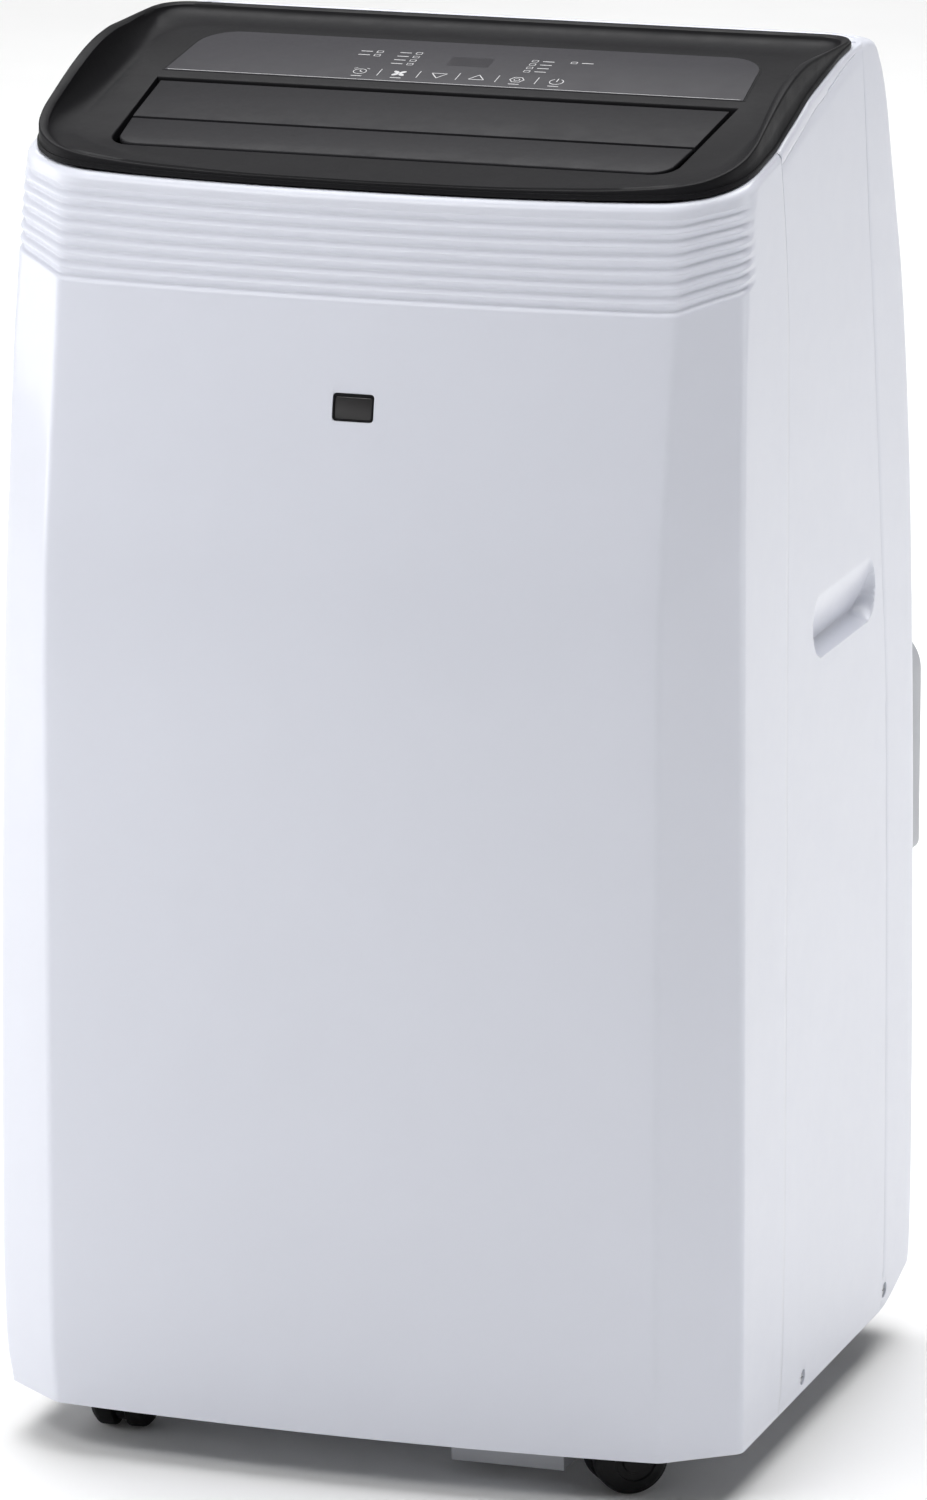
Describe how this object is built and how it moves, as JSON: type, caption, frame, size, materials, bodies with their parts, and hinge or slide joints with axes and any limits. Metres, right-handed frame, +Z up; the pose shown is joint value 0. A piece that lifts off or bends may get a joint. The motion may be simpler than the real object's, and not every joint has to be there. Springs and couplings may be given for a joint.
{
  "type": "portable air conditioner",
  "caption": "Free-standing room air conditioner with bevelled white casing, sloping black top with louvred outlet, side grips, rear filters, exhaust outlet and casters.",
  "frame": {"origin": "on the floor, at the middle of the unit's bounding box", "axes": "+X to the right seen from the front, front faces -Y, +Z up"},
  "size_m": [0.39, 0.385, 0.7],
  "materials": {
    "white_plastic": "semi-gloss moulded white",
    "black_plastic": "satin moulded black",
    "overlay_film": "smooth dark grey film",
    "circuit_board": "green solder mask",
    "window_tint": "dark tinted infrared window",
    "charcoal_plastic": "fine-grained charcoal",
    "natural_nylon": "natural off-white",
    "motor_steel": "zinc plated",
    "fin_aluminium": "bare fins",
    "grey_plastic": "moulded light grey",
    "black_steel": "black paint",
    "copper": null,
    "soft_rubber": "soft black rubber",
    "caster_nylon": "moulded black nylon",
    "caster_tyre": "hard black nylon tread"
  },
  "bodies": {
    "casing": {"base_pan": "grey_plastic", "front_panel": "white_plastic", "left_side_panel": "white_plastic", "right_side_panel": "white_plastic", "rear_cover": "white_plastic", "top_frame": "white_plastic", "top_bezel": "black_plastic", "control_overlay": "overlay_film", "control_board": "circuit_board", "receiver_window": "window_tint", "outlet_duct": "charcoal_plastic", "louver_motor": "motor_steel", "cold_scroll": "natural_nylon", "cold_motor": "motor_steel", "evaporator_coil": "fin_aluminium", "partition_tray": "natural_nylon", "drain_spout": "natural_nylon", "condenser_coil": "fin_aluminium", "warm_scroll": "natural_nylon", "warm_motor": "motor_steel", "exhaust_outlet": "grey_plastic", "splash_motor": "motor_steel", "compressor": "black_steel", "compressor_grommets": "soft_rubber", "accumulator": "black_steel", "refrigerant_pipes": "copper", "electrical_box": "motor_steel", "cord_gland": "charcoal_plastic", "casing_screws": "motor_steel"},
    "louver_front_body": {"louver_front": "charcoal_plastic"},
    "louver_rear_body": {"louver_rear": "charcoal_plastic"},
    "louver_link_body": {"louver_link": "charcoal_plastic"},
    "vane_1_body": {"vane_1": "charcoal_plastic"},
    "vane_2_body": {"vane_2": "charcoal_plastic"},
    "vane_3_body": {"vane_3": "charcoal_plastic"},
    "vane_4_body": {"vane_4": "charcoal_plastic"},
    "vane_5_body": {"vane_5": "charcoal_plastic"},
    "vane_link_body": {"vane_link": "natural_nylon"},
    "cold_wheel": {"cold_fan": "natural_nylon"},
    "warm_wheel": {"warm_fan": "natural_nylon"},
    "splasher": {"splash_wheel": "natural_nylon"},
    "upper_filter_door": {"upper_grille": "white_plastic", "upper_filter": "charcoal_plastic"},
    "lower_filter_door": {"lower_grille": "white_plastic", "lower_filter": "charcoal_plastic"},
    "plug": {"drain_plug": "soft_rubber"},
    "cap": {"drain_cap": "soft_rubber"},
    "caster_fl": {"caster_hood_fl": "caster_nylon", "caster_pins_fl": "motor_steel"},
    "wheels_fl": {"caster_wheels_fl": "caster_tyre"},
    "caster_fr": {"caster_hood_fr": "caster_nylon", "caster_pins_fr": "motor_steel"},
    "wheels_fr": {"caster_wheels_fr": "caster_tyre"},
    "caster_rl": {"caster_hood_rl": "caster_nylon", "caster_pins_rl": "motor_steel"},
    "wheels_rl": {"caster_wheels_rl": "caster_tyre"},
    "caster_rr": {"caster_hood_rr": "caster_nylon", "caster_pins_rr": "motor_steel"},
    "wheels_rr": {"caster_wheels_rr": "caster_tyre"}
  },
  "joints": [
    {"name": "louver_rear_hinge", "type": "hinge", "parent": "casing", "child": "louver_rear_body", "pos_m": [0, -0.06215, 0.66237], "axis": [-1, 0, 0], "range_deg": [0, 75]},
    {"name": "louver_front_hinge", "type": "hinge", "parent": "casing", "child": "louver_front_body", "pos_m": [0, -0.105, 0.65365], "axis": [-1, 0, 0], "range_deg": [0, 75]},
    {"name": "louver_link_pivot", "type": "hinge", "parent": "louver_front_body", "child": "louver_link_body", "pos_m": [0.1499, -0.09952, 0.64651], "axis": [-1, 0, 0], "range_deg": [-75, 0]},
    {"name": "vane_1_hinge", "type": "hinge", "parent": "casing", "child": "vane_1_body", "pos_m": [-0.11, -0.0795, 0.615], "axis": [0, 0, 1], "range_deg": [-35, 35]},
    {"name": "vane_2_hinge", "type": "hinge", "parent": "casing", "child": "vane_2_body", "pos_m": [-0.055, -0.0795, 0.615], "axis": [0, 0, 1], "range_deg": [-35, 35]},
    {"name": "vane_3_hinge", "type": "hinge", "parent": "casing", "child": "vane_3_body", "pos_m": [0, -0.0795, 0.615], "axis": [0, 0, 1], "range_deg": [-35, 35]},
    {"name": "vane_4_hinge", "type": "hinge", "parent": "casing", "child": "vane_4_body", "pos_m": [0.055, -0.0795, 0.615], "axis": [0, 0, 1], "range_deg": [-35, 35]},
    {"name": "vane_5_hinge", "type": "hinge", "parent": "casing", "child": "vane_5_body", "pos_m": [0.11, -0.0795, 0.615], "axis": [0, 0, 1], "range_deg": [-35, 35]},
    {"name": "vane_link_pivot", "type": "hinge", "parent": "vane_3_body", "child": "vane_link_body", "pos_m": [0, -0.0595, 0.6385], "axis": [0, 0, 1], "range_deg": [-35, 35]},
    {"name": "cold_fan_spin", "type": "hinge", "parent": "casing", "child": "cold_wheel", "pos_m": [0, -0.0605, 0.495], "axis": [0, 1, 0], "continuous": true},
    {"name": "warm_fan_spin", "type": "hinge", "parent": "casing", "child": "warm_wheel", "pos_m": [0.075, 0.0715, 0.14], "axis": [0, 1, 0], "continuous": true},
    {"name": "splash_wheel_spin", "type": "hinge", "parent": "casing", "child": "splasher", "pos_m": [-0.092, 0.0975, 0.072], "axis": [0, 1, 0], "continuous": true},
    {"name": "upper_filter_slide", "type": "slide", "parent": "casing", "child": "upper_filter_door", "axis": [0, 1, 0], "range_m": [0, 0.08]},
    {"name": "lower_filter_slide", "type": "slide", "parent": "casing", "child": "lower_filter_door", "axis": [0, 1, 0], "range_m": [0, 0.06]},
    {"name": "drain_plug_pull", "type": "slide", "parent": "casing", "child": "plug", "axis": [0, 1, 0], "range_m": [0, 0.03]},
    {"name": "drain_cap_pull", "type": "slide", "parent": "casing", "child": "cap", "axis": [0, 1, 0], "range_m": [0, 0.03]},
    {"name": "caster_fl_swivel", "type": "hinge", "parent": "casing", "child": "caster_fl", "pos_m": [-0.14, -0.1355, 0.055], "axis": [0, 0, 1], "continuous": true},
    {"name": "wheels_fl_roll", "type": "hinge", "parent": "caster_fl", "child": "wheels_fl", "pos_m": [-0.14105, -0.12355, 0.019], "axis": [-0.9962, -0.0872, 0], "continuous": true},
    {"name": "caster_fr_swivel", "type": "hinge", "parent": "casing", "child": "caster_fr", "pos_m": [0.14, -0.1355, 0.055], "axis": [0, 0, 1], "continuous": true},
    {"name": "wheels_fr_roll", "type": "hinge", "parent": "caster_fr", "child": "wheels_fr", "pos_m": [0.13042, -0.14272, 0.019], "axis": [0.6018, -0.7986, 0], "continuous": true},
    {"name": "caster_rl_swivel", "type": "hinge", "parent": "casing", "child": "caster_rl", "pos_m": [-0.14, 0.1125, 0.055], "axis": [0, 0, 1], "continuous": true},
    {"name": "wheels_rl_roll", "type": "hinge", "parent": "caster_rl", "child": "wheels_rl", "pos_m": [-0.13792, 0.12432, 0.019], "axis": [-0.9848, 0.1736, 0], "continuous": true},
    {"name": "caster_rr_swivel", "type": "hinge", "parent": "casing", "child": "caster_rr", "pos_m": [0.14, 0.1125, 0.055], "axis": [0, 0, 1], "continuous": true},
    {"name": "wheels_rr_roll", "type": "hinge", "parent": "caster_rr", "child": "wheels_rr", "pos_m": [0.13792, 0.12432, 0.019], "axis": [-0.9848, -0.1736, 0], "continuous": true}
  ],
  "couplings": [
    {"joint": "louver_front_hinge", "follows": "louver_rear_hinge", "ratio": 1},
    {"joint": "louver_link_pivot", "follows": "louver_rear_hinge", "ratio": -1},
    {"joint": "vane_1_hinge", "follows": "vane_3_hinge", "ratio": 1},
    {"joint": "vane_2_hinge", "follows": "vane_3_hinge", "ratio": 1},
    {"joint": "vane_4_hinge", "follows": "vane_3_hinge", "ratio": 1},
    {"joint": "vane_5_hinge", "follows": "vane_3_hinge", "ratio": 1},
    {"joint": "vane_link_pivot", "follows": "vane_3_hinge", "ratio": -1}
  ]
}
